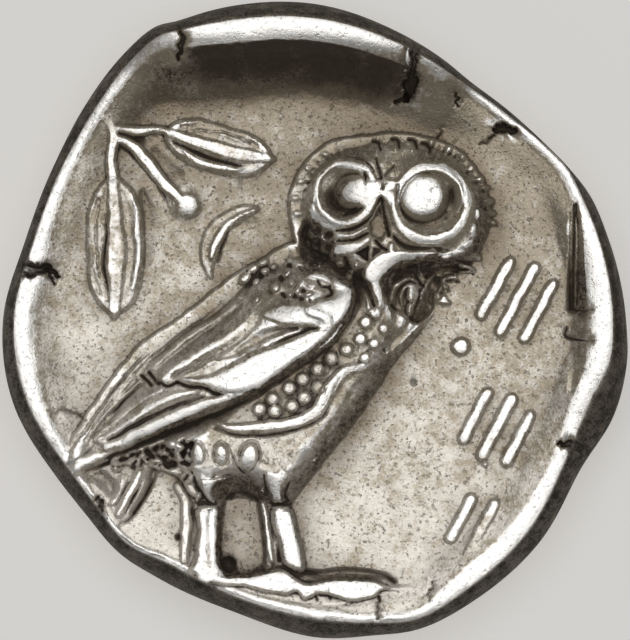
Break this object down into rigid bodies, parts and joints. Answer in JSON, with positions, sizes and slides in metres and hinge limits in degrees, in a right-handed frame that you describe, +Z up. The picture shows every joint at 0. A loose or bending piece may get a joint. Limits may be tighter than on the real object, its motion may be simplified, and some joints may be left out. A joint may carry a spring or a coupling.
{
  "type": "tetradrachm coin",
  "caption": "Thick hand-struck silver coin lying flat, with an owl, olive sprig and crescent in relief above and a worn helmeted head below.",
  "frame": {"origin": "on the table, under the middle of the coin's outline", "axes": "+Z up through the coin's thickness, +X to the right and +Y to the top of the owl side"},
  "size_m": [0.0246, 0.025, 0.0058],
  "materials": {
    "silver": "old silver, rubbed bright on the high points and grey-brown in the hollows"
  },
  "bodies": {
    "root": {"coin": "silver"}
  },
  "joints": []
}
